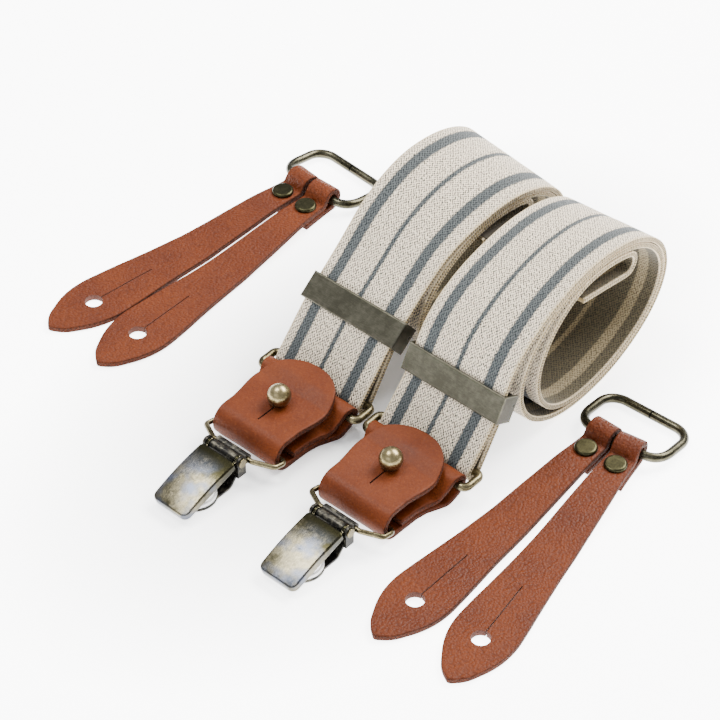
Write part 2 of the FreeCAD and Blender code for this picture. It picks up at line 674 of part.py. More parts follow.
def make_clip_jaw(side):
    """Upper jaw: a barrel on the pin, an arm and the disc that carries the upper pad."""
    x = side["x"]
    half = LUG_INNER - 0.35
    band = Band((PAD_Y, UPPER_PAD_TOP + CLIP_SHEET / 2), 0.0, CLIP_SHEET)
    band.line(5.5)
    band.arc(3.0, 38.0)
    c, s = unit(38.0)
    barrel_r = PIN_R + RUNNING_PLAY + CLIP_SHEET
    band.line(math.hypot(PIN_Y - band.at[0], PIN_Z - band.at[1]) - barrel_r + 0.4)
    arm = band.solid(x - half, x + half)
    disc = Part.makeCylinder(PAD_R - 0.6, CLIP_SHEET, vec(x, PAD_Y, UPPER_PAD_TOP), Z_AXIS)
    barrel = Part.makeCylinder(barrel_r, 2 * half, vec(x - half, PIN_Y, PIN_Z), X_AXIS)
    made = arm.fuse([disc, barrel]).removeSplitter()
    return made.cut(rod(PIN_R + RUNNING_PLAY, vec(x - 20, PIN_Y, PIN_Z), vec(x + 20, PIN_Y, PIN_Z)))


def make_clip_pad(side):
    return Part.makeCylinder(PAD_R, PAD_THICK, vec(side["x"], PAD_Y, DISC_TOP), Z_AXIS)


def make_clip_pad_upper(side):
    z = PAD_TOP + JAW_GAP
    return Part.makeCylinder(PAD_R - 0.6, PAD_THICK, vec(side["x"], PAD_Y, z), Z_AXIS)


# ---- Spare button loops -----------------------------------------------------------------------------
LOOP_FOLD_R = SPARE_WIRE_R + SPARE_RING_PLAY + LOOP_LEATHER / 2
SPARE_BAR_Z = LOOP_LEATHER / 2 + LOOP_FOLD_R
LOOP_BAR_AT = BUTTON_LOOP_LENGTH - LOOP_FOLD_R - LOOP_LEATHER / 2
RIVET_AT = BUTTON_LOOP_LENGTH - RIVET_FROM_END


def loop_heading(loop):
    """Degrees from X of the way from a loop's tip to its ring."""
    _, tip_x, _, bar_x = loop
    return math.degrees(math.acos((bar_x - tip_x) / LOOP_BAR_AT))


def loop_axis(loop):
    """Middle of the wire that a loop hangs on."""
    _, tip_x, tip_y, _ = loop
    c, s = unit(loop_heading(loop))
    return vec(tip_x + c * LOOP_BAR_AT, tip_y + s * LOOP_BAR_AT, SPARE_BAR_Z)


def place_loop(shape, loop):
    """Moves a shape from the loop's own frame (y from the tip to the fold) to its place."""
    _, tip_x, tip_y, _ = loop
    made = turned(shape, loop_heading(loop) - 90, vec(0, 0, 0), Z_AXIS)
    made.translate(vec(tip_x, tip_y, 0))
    return made


def make_button_loop(loop):
    """Leather over the wire and back under itself, with a keyhole near its tip."""
    top_z = LOOP_LEATHER * 1.5 + TAB_LAYER_GAP
    bottom_z = LOOP_LEATHER / 2
    short_end = RIVET_AT - LOOP_END_LAP
    lean = 60.0
    lc, ls = unit(lean)
    ease_r = 1.8
    band = Band((short_end, bottom_z), 0.0, LOOP_LEATHER)
    band.line(LOOP_BAR_AT - short_end)
    band.arc(LOOP_FOLD_R, 180 + lean)
    band.line((2 * LOOP_FOLD_R - (top_z - bottom_z) - (LOOP_FOLD_R + ease_r) * (1 - lc)) / ls)
    band.arc(ease_r, -lean)
    band.line(band.at[0] - short_end)
    descent, descent_r = LOOP_DESCENT_DEG, LOOP_DESCENT_R
    dc, ds = unit(descent)
    band.arc(descent_r, descent)
    band.line((top_z - bottom_z - 2 * descent_r * (1 - dc)) / ds)
    band.arc(descent_r, -descent)
    band.line(band.at[0])
    widest = 12.0
    strip = band.solid(-widest, widest)
    half_outline = [(0.0, 0.0)] + [(w / 2, y) for y, w in LOOP_WIDTHS]
    plan = plan_prism(half_outline, 0.0, -1, 12)
    hole = Part.makeCylinder(BUTTON_HOLE_R, 6, vec(0, BUTTON_HOLE_AT, -1), Z_AXIS)
    slit = box(-KEY_SLIT_WIDTH / 2, KEY_SLIT_WIDTH / 2, BUTTON_HOLE_AT, BUTTON_SLIT_END, -1, 5)
    post = Part.makeCylinder(RIVET_POST_R, 12, vec(0, RIVET_AT, -1), Z_AXIS)
    base = Part.makeCylinder(RIVET_BASE_R, RIVET_BASE_THICK + 1, vec(0, RIVET_AT, -1), Z_AXIS)
    return place_loop(strip.common(plan).cut(hole.fuse(slit)).cut(post.fuse(base)), loop)


RIVET_TOP_Z = 2 * LOOP_LEATHER + TAB_LAYER_GAP


def make_rivet_cap(loop):
    """Round head with a soft rim on the doubled leather."""
    top = RIVET_TOP_Z + RIVET_CAP_HEIGHT
    cap = Part.makeCylinder(RIVET_CAP_R, RIVET_CAP_HEIGHT, vec(0, RIVET_AT, RIVET_TOP_Z), Z_AXIS)
    cap = cap.makeFillet(RIVET_RIM_R, [e for e in cap.Edges if abs(e.CenterOfMass.z - top) < 1e-6])
    return place_loop(cap, loop)


def make_rivet_post(loop):
    shank = Part.makeCylinder(RIVET_POST_R, RIVET_TOP_Z, vec(0, RIVET_AT, 0), Z_AXIS)
    base = Part.makeCylinder(RIVET_BASE_R, RIVET_BASE_THICK, vec(0, RIVET_AT, 0), Z_AXIS)
    return place_loop(shank.fuse(base).removeSplitter(), loop)


def make_spare_ring(spare):
    """D-ring that lies with its bowed side in the loops' folds and its straight side on the table."""
    first, second = [loop_axis(loop) for loop in spare["loops"]]
    middle = (first + second) * 0.5
    reach, half = SPARE_RING_BOW_HALF, SPARE_RING_HALF
    bow = SPARE_RING_BOW_R - math.sqrt(SPARE_RING_BOW_R ** 2 - reach ** 2)
    spread = (second - first).Length / 2
    sag = SPARE_RING_BOW_R - math.sqrt(SPARE_RING_BOW_R ** 2 - spread ** 2)
    near = vec(0, -sag, 0)
    left, right = vec(-reach, bow - sag, 0), vec(reach, bow - sag, 0)
    corner_left, corner_right = vec(-half, 8.0, 0), vec(half, 8.0, 0)
    far = SPARE_RING_DEPTH
    r = SPARE_RING_CORNER_R
    d = r * (1 - math.sqrt(0.5))
    butt = vec(0, far, 0)
    path = Part.Wire([
        Part.LineSegment(butt, vec(r - half, far, 0)).toShape(),
        Part.Arc(vec(r - half, far, 0), vec(d - half, far - d, 0), vec(-half, far - r, 0)).toShape(),
        Part.LineSegment(vec(-half, far - r, 0), corner_left).toShape(),
        corner_curve(left, corner_left, bow_tangent(-reach)),
        Part.Arc(left, near, right).toShape(),
        corner_curve(right, corner_right, bow_tangent(reach)),
        Part.LineSegment(corner_right, vec(half, far - r, 0)).toShape(),
        Part.Arc(vec(half, far - r, 0), vec(half - d, far - d, 0), vec(half - r, far, 0)).toShape(),
        Part.LineSegment(vec(half - r, far, 0), butt).toShape(),
    ])
    section = Part.Wire([Part.Circle(butt, X_AXIS, SPARE_WIRE_R).toShape()])
    made = path.makePipeShell([section], True, False)
    tilt = math.degrees(math.asin((SPARE_BAR_Z - SPARE_WIRE_R - TABLE_GAP) / far))
    made = turned(made, -tilt, vec(0, 0, 0), X_AXIS)
    made = turned(made, spare["ring_turn"], vec(0, 0, 0), Z_AXIS)
    made.translate(middle)
    return made


def bow_tangent(reach):
    slope = reach / SPARE_RING_BOW_R
    sign = 1 if reach > 0 else -1
    return vec(math.sqrt(1 - slope ** 2) * sign, abs(slope), 0)


def corner_curve(start, end, tangent):
    """Rounded lower corner: leaves start along tangent and arrives at end going straight up."""
    curve = Part.BSplineCurve()
    curve.interpolate(Points=[start, end], InitialTangent=tangent * 8.0, FinalTangent=Y_AXIS * 8.0)
    return curve.toShape()


# ---- Back patch -------------------------------------------------------------------------------------
def make_back_patch(bands):
    """Leather patch under the straps' inner ends; it joins the two straps where they meet at the back."""
    left, right = SIDES["left"], SIDES["right"]
    half = STRAP_WIDTH / 2
    slope = bands["left"].heading + 180
    c, s = unit(slope)
    start = max(band.at[0] for band in bands.values()) + PATCH_SETBACK
    under = []
    for band in bands.values():
        along = (start - band.at[0]) / c
        under.append(band.at[1] + s * along - STRAP_THICK / 2 / c)
    patch = box(
        left["x"] + half - PATCH_ON_STRAP, right["x"] - half + PATCH_ON_STRAP,
        0, PATCH_DEPTH, -PATCH_THICK - PATCH_GAP, -PATCH_GAP,
    )
    patch = turned(patch, slope, vec(0, 0, 0), X_AXIS)
    patch.translate(vec(0, start, min(under)))
    return patch


# ---- Assembly ---------------------------------------------------------------------------------------
def build():
    bands = {}
    for name, side in SIDES.items():
        strap, bands[name] = make_strap(side)
        PARTS["strap_" + name] = strap
        makers = {
            "slide_cover": make_slide_cover,
            "slide_bar": make_slide_bar,
            "slide_clamp": make_slide_clamp,
            "ring": make_ring,
            "tab": make_tab,
            "stud_ball": make_stud_ball,
            "stud_screw": make_stud_screw,
            "bail": make_bail,
            "clip_frame": make_clip_frame,
            "clip_pin": make_clip_pin,
            "clip_lid": make_clip_lid,
            "clip_jaw": make_clip_jaw,
            "clip_pad_lower": make_clip_pad,
            "clip_pad_upper": make_clip_pad_upper,
        }
        for part, maker in makers.items():
            PARTS[part + "_" + name] = maker(side)
    for name, spare in SPARES.items():
        PARTS["spare_ring_" + name] = make_spare_ring(spare)
        for loop in spare["loops"]:
            end = "_" + loop[0] + "_" + name
            PARTS["button_loop" + end] = make_button_loop(loop)
            PARTS["rivet_cap" + end] = make_rivet_cap(loop)
            PARTS["rivet_post" + end] = make_rivet_post(loop)
    PARTS["back_patch"] = make_back_patch(bands)
    return bands


def origin_of(shapes):
    """Middle of the footprint of the whole object, on the table."""
    whole = FreeCAD.BoundBox()
    for shape in shapes:
        whole.add(shape.optimalBoundingBox(True, False))
    return vec((whole.XMin + whole.XMax) / 2, (whole.YMin + whole.YMax) / 2, whole.ZMin)


BANDS = build()
ORIGIN = origin_of(PARTS.values())
os.makedirs("parts", exist_ok=True)
for node, shape in PARTS.items():
    shape.translate(ORIGIN * -1)
    shape.exportStep("parts/" + node + ".step")
    print(node, shape.ShapeType, len(shape.Solids), shape.isValid(), round(shape.Volume, 1))
print("origin", ORIGIN)
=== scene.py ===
"""Clip-end suspenders, rolled up, with two spare pairs of leather button loops.

Shapes are worked out in millimetres in the layout frame that the CAD part is drawn in: X across the
straps, Y from the clips to the rolls, z = 0 on the table. place() turns them into row-frame metres.
"""
import bpy
import bmesh
import math
import numpy as np
from mathutils import Matrix, Vector, noise


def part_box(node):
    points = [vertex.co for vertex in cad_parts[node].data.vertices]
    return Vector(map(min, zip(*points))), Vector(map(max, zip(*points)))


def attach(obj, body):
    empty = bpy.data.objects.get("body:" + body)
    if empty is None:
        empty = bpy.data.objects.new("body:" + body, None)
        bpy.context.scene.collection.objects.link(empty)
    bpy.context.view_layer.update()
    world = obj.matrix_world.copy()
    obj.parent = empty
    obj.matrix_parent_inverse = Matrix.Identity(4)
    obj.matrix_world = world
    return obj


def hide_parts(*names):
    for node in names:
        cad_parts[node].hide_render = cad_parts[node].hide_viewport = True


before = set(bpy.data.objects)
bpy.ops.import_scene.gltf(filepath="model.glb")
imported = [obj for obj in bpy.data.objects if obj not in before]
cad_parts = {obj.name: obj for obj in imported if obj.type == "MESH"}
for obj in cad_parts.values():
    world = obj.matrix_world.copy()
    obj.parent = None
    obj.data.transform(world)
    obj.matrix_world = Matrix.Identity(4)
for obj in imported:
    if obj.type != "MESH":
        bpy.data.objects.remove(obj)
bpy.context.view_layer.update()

MM = 0.001

# Sizes of the pieces, in millimetres.
STRAP_WIDTH = 35.0
STRAP_THICK = 1.7
STRAP_STEP = 2.0
LAYER_GAP = 0.3
TAIL_LENGTH = 21.0
LEATHER = 2.0
WIRE_AND_PLAY = 1.6
LOOP_LEATHER = 2.2
LOOP_LENGTH = 110.0
SPARE_WIRE_R = 1.5
SPARE_WIRE_PLAY = 0.55

# Each side: x of the strap, middle and half lengths of its roll, height, how much more the front of the
# turns steps in, radius of the inner hairpin, slide and stud places, how far the top of the roll leans
# down over the strap's width, how far its turns fan out, and how far each turn sinks sideways.
SIDES = {
    "left": dict(x=2.4, roll_y=40.0, front=36.0, rear=37.0, height=49.5, slack=0.5, hairpin=3.1,
                 slide=(-4.8, 25.5), stud_y=-39.6, tilt=7.0, fan=0.15, sink=0.35),
    "right": dict(x=45.5, roll_y=33.9, front=39.75, rear=39.75, height=51.5, slack=6.0, hairpin=3.8,
                  slide=(-8.1, 24.7), stud_y=-37.6, tilt=-3.4, fan=0.55, sink=0.0),
}
# Each button loop: x and y of its tip, and its heading in degrees.
LOOPS = {
    ("outer", "left"): (-83.0, -55.5, 82.5),
    ("inner", "left"): (-59.5, -57.0, 90.0),
    ("inner", "right"): (80.2, -85.0, 90.0),
    ("outer", "right"): (106.5, -83.5, 99.0),
}
# Distance from a loop's tip, and its width there.
LOOP_WIDTHS = [
    (0.0, 0.0), (2.0, 5.4), (8.0, 13.6), (14.0, 18.4), (20.0, 20.3), (28.0, 19.6), (35.0, 18.2),
    (45.0, 16.2), (65.0, 13.4), (85.0, 10.9), (97.0, 9.2), (110.0, 8.4), (140.0, 8.4),
]
PIN_IN_LAYOUT = Vector((2.4, -63.9, 8.6))
CAMERA_IN_LAYOUT = (431.8, -488.1, 607.7)
LENS = 141.9
LOWEST = 0.02


# ---- Frame --------------------------------------------------------------------------------------
def middle_of(node):
    low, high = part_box(node)
    return (low + high) / 2


ORIGIN = PIN_IN_LAYOUT - middle_of("clip_pin_left") / MM


def place(p):
    """Layout millimetres to row-frame metres."""
    return (Vector(p) - ORIGIN) * MM


# ---- Camera and light ---------------------------------------------------------------------------
def aim(obj, target):
    obj.rotation_mode = "QUATERNION"
    obj.rotation_quaternion = (target - obj.location).to_track_quat("-Z", "Y")


def make_camera():
    data = bpy.data.cameras.new("camera")
    data.sensor_width = 36.0
    data.lens = LENS
    data.clip_start = 0.05
    data.clip_end = 10.0
    camera = bpy.data.objects.new("camera", data)
    bpy.context.scene.collection.objects.link(camera)
    camera.location = place(CAMERA_IN_LAYOUT)
    aim(camera, place((0, 0, 0)))
    bpy.context.scene.camera = camera


def area_light(name, at, target, size, power, tint):
    data = bpy.data.lights.new(name, "AREA")
    data.shape = "RECTANGLE"
    data.size, data.size_y = size
    data.energy = power
    data.color = tint
    light = bpy.data.objects.new(name, data)
    bpy.context.scene.collection.objects.link(light)
    light.location = at
    aim(light, Vector(target))


def make_lights():
    """A small key overhead, a strong soft light behind and a weak cool one in front."""
    area_light("key", (-0.38, -0.10, 1.05), (0, 0, 0), (0.4, 0.4), 12.0, (1.0, 0.985, 0.955))
    area_light("rear", (0.15, 0.85, 0.95), (0, 0, 0), (0.9, 0.5), 43.0, (1.0, 0.975, 0.93))
    area_light("front", (0.15, -1.05, 0.80), (0, 0, 0.02), (0.9, 0.5), 3.0, (0.95, 0.975, 1.0))
    world = bpy.data.worlds.new("studio")
    world.use_nodes = True
    background = world.node_tree.nodes["Background"]
    background.inputs["Color"].default_value = (0.94, 0.96, 1.0, 1)
    background.inputs["Strength"].default_value = 0.85
    bpy.context.scene.world = world


# ---- Materials ----------------------------------------------------------------------------------
class Graph:
    """A material's node tree with short calls for the nodes used here."""

    def __init__(self, name, start_from=None):
        if start_from:
            self.material = start_from.copy()
            self.material.name = name
        else:
            self.material = bpy.data.materials.new(name)
            self.material.use_nodes = True
        self.nodes = self.material.node_tree.nodes
        self.links = self.material.node_tree.links
        self.shader = self.nodes["Principled BSDF"]

    def put(self, socket, value):
        if isinstance(value, bpy.types.NodeSocket):
            self.links.new(value, socket)
        elif isinstance(value, (tuple, list)) and len(value) == 3 and socket.type == "RGBA":
            socket.default_value = (*value, 1)
        else:
            socket.default_value = value

    def new(self, kind, **inputs):
        node = self.nodes.new(kind)
        for key, value in inputs.items():
            self.put(node.inputs[key], value)
        return node

    def where(self):
        return self.new("ShaderNodeTexCoord").outputs["Object"]

    def uv(self, layer):
        node = self.new("ShaderNodeUVMap")
        node.uv_map = layer
        return node.outputs["UV"]

    def attribute(self, name):
        node = self.new("ShaderNodeAttribute")
        node.attribute_name = name
        return node.outputs["Fac"]

    def split(self, vector):
        return self.new("ShaderNodeSeparateXYZ", Vector=vector).outputs

    def scaled(self, vector, factors):
        node = self.nodes.new("ShaderNodeVectorMath")
        node.operation = "MULTIPLY"
        self.put(node.inputs[0], vector)
        self.put(node.inputs[1], factors)
        return node.outputs["Vector"]

    def math(self, operation, a, b=0.0, c=0.0):
        node = self.nodes.new("ShaderNodeMath")
        node.operation = operation
        for socket, value in zip(node.inputs, (a, b, c)):
            self.put(socket, value)
        return node.outputs["Value"]

    def noise(self, vector, scale, detail=3.0, roughness=0.55):
        node = self.new("ShaderNodeTexNoise", Vector=vector, Scale=scale, Detail=detail, Roughness=roughness)
        return node.outputs["Fac"]

    def cells(self, vector, scale):
        return self.new("ShaderNodeTexVoronoi", Vector=vector, Scale=scale).outputs["Distance"]

    def ramp(self, value, low, high, to_low=0.0, to_high=1.0):
        node = self.new("ShaderNodeMapRange", Value=value)
        for key, number in (("From Min", low), ("From Max", high), ("To Min", to_low), ("To Max", to_high)):
            self.put(node.inputs[key], number)
        return node.outputs["Result"]

    def mix(self, share, a, b):
        node = self.nodes.new("ShaderNodeMix")
        node.data_type = "RGBA"
        self.put(node.inputs["Factor"], share)
        self.put(node.inputs[6], a)
        self.put(node.inputs[7], b)
        return node.outputs[2]

    def bump(self, height, strength, distance, below=None):
        node = self.new("ShaderNodeBump", Height=height, Strength=strength, Distance=distance)
        if below is not None:
            self.put(node.inputs["Normal"], below)
        return node.outputs["Normal"]

    def finish(self, **inputs):
        for key, value in inputs.items():
            self.put(self.shader.inputs[key.replace("_", " ")], value)
        return self.material


def leather_material(name, base, dark, pale, grain):
    """Vegetable-tanned leather: cloudy tan, pebbled pores, burnished outline."""
    g = Graph(name)
    here = g.where()
    clouds = g.noise(here, 60.0, 4.0)
    fine = g.noise(here, 1100.0, 3.0, 0.65)
    fibres = g.noise(g.scaled(here, (1.0, 0.5, 1.0)), 2600.0, 2.0, 0.7)
    pebble = g.cells(here, 1250.0)
    edge = g.attribute("edge")
    colour = g.mix(g.ramp(clouds, 0.30, 0.70), dark, base)
    colour = g.mix(g.ramp(fine, 0.5, 0.74, 0.0, 0.40), colour, pale)
    pores = g.ramp(pebble, 0.5, 0.85, 0.0, grain * 0.5)
    creases = g.math("ADD", g.ramp(fibres, 0.44, 0.30, 0.0, 0.45), pores)
    colour = g.mix(creases, colour, tuple(0.62 * c for c in dark))
    colour = g.mix(g.math("MULTIPLY", edge, 0.55), colour, tuple(0.5 * c for c in dark))
    side = g.ramp(g.attribute("side"), 0.3, 0.6)
    rough_fibre = g.noise(here, 1700.0, 3.0, 0.8)
    raw_dark, raw_pale = tuple(0.13 * c for c in dark), tuple(0.75 * c for c in base)
    raw = g.mix(g.ramp(rough_fibre, 0.35, 0.68), raw_dark, raw_pale)
    colour = g.mix(side, colour, raw)
    height = g.math("SUBTRACT", g.math("MULTIPLY", fine, 0.6), g.math("MULTIPLY", pebble, 0.6))
    normal = g.bump(height, grain, 0.0005)
    normal = g.bump(fibres, 0.35, 0.00015, normal)
    normal = g.bump(g.math("MULTIPLY", rough_fibre, side), 0.8, 0.0006, normal)
    rough = g.math("ADD", g.ramp(clouds, 0.3, 0.7, 0.42, 0.55), g.math("MULTIPLY", edge, 0.35))
    return g.finish(Base_Color=colour, Roughness=rough, Normal=normal, Specular_IOR_Level=0.16)


def cut_edge_material():
    """Raw fibrous leather on cut sides and in holes."""
    g = Graph("leather_cut_edge")
    here = g.where()
    fibre = g.noise(g.scaled(here, (1, 1, 2.5)), 1400.0, 4.0, 0.75)
    colour = g.mix(fibre, (0.030, 0.0055, 0.0020), (0.125, 0.030, 0.011))
    return g.finish(Base_Color=colour, Roughness=0.85, Normal=g.bump(fibre, 0.7, 0.0004))


def brass_material(name, deep, worn, wear, rough, brush=(1.0, 1.0, 1.0), rub=0.7, tint=None,
                   painted_reflection_along=None):
    """Antique brass: brown-green patina, paler edges that are partly rubbed and partly a painted highlight,
    fine brush lines.

    Given a pair of y values, the colour is painted from dark at the first to brighter at the second as a
    painted reflection, and clouds of tint, a painted cool reflection, show there.
    """
    g = Graph(name)
    here = g.where()
    patches = g.noise(here, 85.0, 4.0, 0.6)
    mottle = g.noise(here, 480.0, 3.0, 0.7)
    lines = g.noise(g.scaled(here, brush), 1900.0, 2.0, 0.6)
    patina = g.ramp(patches, 0.34, 0.68, 0.0, wear)
    share = g.math("ADD", patina, g.ramp(mottle, 0.40, 0.70, -0.12, 0.20))
    share = g.math("ADD", share, g.ramp(lines, 0.40, 0.70, -0.10, 0.16))
    if painted_reflection_along:
        y = g.split(here)["Y"]
        start, end = painted_reflection_along
        # Painted reflection: darker at the lid's rear, brighter towards its front.
        share = g.math("ADD", share, g.ramp(y, start, end, -0.85, 0.15))
    colour = g.mix(share, deep, worn)
    if painted_reflection_along:
        # Painted cool reflection: clouds of blue tint towards the lid's front.
        reflection_cloud = g.ramp(g.noise(here, 130.0, 2.0), 0.44, 0.62, 0.0, 0.75)
        colour = g.mix(g.math("MULTIPLY", reflection_cloud, g.ramp(y, start - 0.006, end)), colour, tint)
    rounded = g.new("ShaderNodeBevel", Radius=0.00035)
    rounded.samples = 6
    flat = g.new("ShaderNodeNewGeometry").outputs["True Normal"]
    facing = g.nodes.new("ShaderNodeVectorMath")
    facing.operation = "DOT_PRODUCT"
    g.put(facing.inputs[0], rounded.outputs["Normal"])
    g.put(facing.inputs[1], flat)
    # Paler edges: partly real rubbing, partly a painted highlight.
    worn_and_lit_edges = g.ramp(facing.outputs["Value"], 0.985, 0.86, 0.0, rub)
    colour = g.mix(worn_and_lit_edges, colour, tuple(min(1.0, 1.25 * c) for c in worn))
    smudge = g.math("ADD", patches, g.math("MULTIPLY", lines, 0.4))
    roughness = g.ramp(smudge, 0.45, 1.0, *rough)
    normal = g.bump(g.math("ADD", mottle, lines), 0.10, 0.0001, rounded.outputs["Normal"])
    return g.finish(Base_Color=colour, Roughness=roughness, Metallic=1.0, Normal=normal)


def elastic_material():
    """Striped woven elastic, with khaki sides and a dark back that shows the stripes pale.

    UV "weave" is (along, across) in metres. Stripes are placed as shares of the strap's width.
    """
    g = Graph("striped_elastic")
    weave_at = g.uv("weave")
    along, across, _ = g.split(weave_at)
    wobble = g.math("MULTIPLY", g.math("SUBTRACT", g.noise(weave_at, 1000.0, 2.0), 0.5), 0.0010)
    place_across = g.math("DIVIDE", g.math("ADD", across, wobble), STRAP_WIDTH * MM)

    def stripe(centre, half, soft=0.008):
        off = g.math("ABSOLUTE", g.math("SUBTRACT", place_across, centre))
        return g.ramp(off, half + soft, half - soft)

    stripes = g.math("MAXIMUM", stripe(0.145, 0.052), stripe(0.815, 0.052))
    stripes = g.math("MAXIMUM", stripes, stripe(0.475, 0.023))

    def wave(value, period):
        return g.math("SINE", g.math("MULTIPLY", value, 2 * math.pi / (period * MM)))

    eyes = g.math("MULTIPLY", wave(along, 1.25), wave(across, 1.05))
    twill = wave(g.math("ADD", along, g.math("MULTIPLY", across, 0.8)), 0.75)
    speckle = g.noise(g.scaled(weave_at, (1.0, 1.3, 1.0)), 1350.0, 2.0, 0.6)
    threads = g.math("ADD", g.math("MULTIPLY", eyes, 0.55), g.math("MULTIPLY", twill, 0.25))
    fuzz = g.math("MULTIPLY", g.math("SUBTRACT", speckle, 0.5), 3.0)
    threads = g.math("ADD", threads, fuzz)
    dark_thread = g.ramp(threads, 0.20, -0.45)
    cream = g.mix(dark_thread, (0.80, 0.685, 0.525), (0.050, 0.045, 0.038))
    grey = g.mix(dark_thread, (0.082, 0.092, 0.094), (0.011, 0.015, 0.017))
    face = g.mix(stripes, cream, grey)
    back_ground = g.mix(dark_thread, (0.125, 0.105, 0.064), (0.030, 0.026, 0.015))
    back_stripe = g.mix(dark_thread, (0.38, 0.31, 0.19), (0.11, 0.088, 0.048))
    colour = g.mix(g.attribute("back"), face, g.mix(stripes, back_ground, back_stripe))

    rim = g.math("MINIMUM", across, g.math("SUBTRACT", STRAP_WIDTH * MM, across))
    selvedge = g.mix(dark_thread, (0.68, 0.565, 0.40), (0.34, 0.265, 0.155))
    colour = g.mix(g.ramp(rim, 0.0010, 0.0006), colour, selvedge)
    ladder = g.math("ADD", wave(along, 0.95), fuzz)
    side = g.mix(g.ramp(ladder, -0.5, 0.6), (0.070, 0.052, 0.024), (0.31, 0.235, 0.120))
    on_side = g.attribute("side")
    colour = g.mix(g.ramp(on_side, 0.45, 0.6), colour, side)
    side_height = g.math("MULTIPLY", g.math("MULTIPLY", ladder, on_side), 0.3)
    height = g.math("ADD", g.math("MULTIPLY", threads, 0.35), side_height)
    normal = g.bump(height, 0.7, 0.0004)
    return g.finish(
        Base_Color=colour, Roughness=0.9, Normal=normal, Specular_IOR_Level=0.15, Sheen_Weight=0.2,
        Sheen_Roughness=0.5,
    )


def dark_metal_material():
    """Blackened steel of the clip's frame and the slide's clamp, rubbed in places."""
    g = Graph("blackened_steel")
    here = g.where()
    rub = g.noise(here, 420.0, 4.0, 0.65)
    colour = g.mix(g.ramp(rub, 0.50, 0.72), (0.020, 0.019, 0.017), (0.13, 0.12, 0.09))
    return g.finish(Base_Color=colour, Metallic=0.9, Roughness=g.ramp(rub, 0.3, 0.7, 0.28, 0.5),
                    Normal=g.bump(rub, 0.08, 0.0001))


def pad_material():
    """Hazy white plastic of the round pads."""
    g = Graph("white_pad")
    haze = g.noise(g.where(), 700.0)
    colour = g.mix(haze, (0.88, 0.875, 0.86), (0.94, 0.935, 0.92))
    return g.finish(Base_Color=colour, Roughness=0.35, Normal=g.bump(haze, 0.05, 0.0001))


def backing_painted_shade_material():
    """Dark woven backing where the straps join, coloured almost black as painted shade, so it reads as the
    shade between the rolls.
    """
    g = Graph("backing_painted_shade")
    haze = g.noise(g.where(), 1300.0)
    return g.finish(Base_Color=g.mix(haze, (0.03, 0.026, 0.02), (0.09, 0.075, 0.055)), Roughness=0.9,
                    Normal=g.bump(haze, 0.5, 0.0003))


def floor_material():
    """White paper that glows as painted light: faintly near the object and strongly away from it, so it
    reads white far off and stays darker round the object as painted shade.
    """
    g = Graph("pale_paper_painted_glow")
    here = g.where()
    haze = g.noise(here, 9.0)
    from_middle = g.nodes.new("ShaderNodeVectorMath")
    from_middle.operation = "LENGTH"
    g.put(from_middle.inputs[0], g.scaled(here, (1.3, 0.8, 0.0)))
    # Painted light: emission that is weak near the middle and strong away from it.
    painted_glow = g.ramp(from_middle.outputs["Value"], 0.03, 0.12, 0.10, 7.0)
    return g.finish(Base_Color=g.mix(haze, (0.90, 0.905, 0.91), (0.93, 0.93, 0.935)), Roughness=0.8,
                    Emission_Color=(1.0, 1.0, 1.0, 1.0), Emission_Strength=painted_glow)


def make_materials():
    tan = dict(base=(0.118, 0.0235, 0.0036), dark=(0.076, 0.0132, 0.0019), pale=(0.172, 0.042, 0.0085))
    lid_rear_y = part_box("clip_lid_left")[1].y
    return {
        "tab": leather_material("tab_leather", grain=0.15, **tan),
        "loop": leather_material("loop_leather", grain=0.8, **tan),
        "cut": cut_edge_material(),
        "ball": brass_material("polished_brass", deep=(0.20, 0.160, 0.078), worn=(0.42, 0.350, 0.200),
                               wear=0.4, rough=(0.27, 0.36)),
        "rivet": brass_material("rivet_brass", deep=(0.028, 0.026, 0.013), worn=(0.085, 0.078, 0.040),
                                wear=0.5, rough=(0.28, 0.42)),
        "slide": brass_material("brushed_slide", deep=(0.058, 0.055, 0.040), worn=(0.150, 0.143, 0.110),
                                wear=0.35, rough=(0.32, 0.42), brush=(0.25, 4, 4)),
        # The lid's colour holds a painted reflection: dark at its rear, brighter with blue clouds towards
        # its front.
        "lid": brass_material("rubbed_lid_painted_reflection", deep=(0.026, 0.024, 0.012), worn=(0.20, 0.178, 0.120),
                              wear=0.60, rough=(0.19, 0.30), brush=(1, 0.3, 1), rub=0.9,
                              tint=(0.070, 0.085, 0.125), painted_reflection_along=(lid_rear_y, lid_rear_y - 0.014)),
        "wire": brass_material("wire_brass", deep=(0.075, 0.062, 0.032), worn=(0.30, 0.255, 0.15),
                               wear=0.5, rough=(0.22, 0.38), rub=0.3),
        "gunmetal": brass_material("gunmetal_wire", deep=(0.030, 0.028, 0.018), worn=(0.125, 0.115, 0.078),
                                   wear=0.5, rough=(0.22, 0.36), rub=0.2),
        "elastic": elastic_material(),
        "dark": dark_metal_material(),
        "pad": pad_material(),
        # The backing's near-black colour is painted shade.
        "patch": backing_painted_shade_material(),
        "floor": floor_material(),
    }


MATERIALS = make_materials()


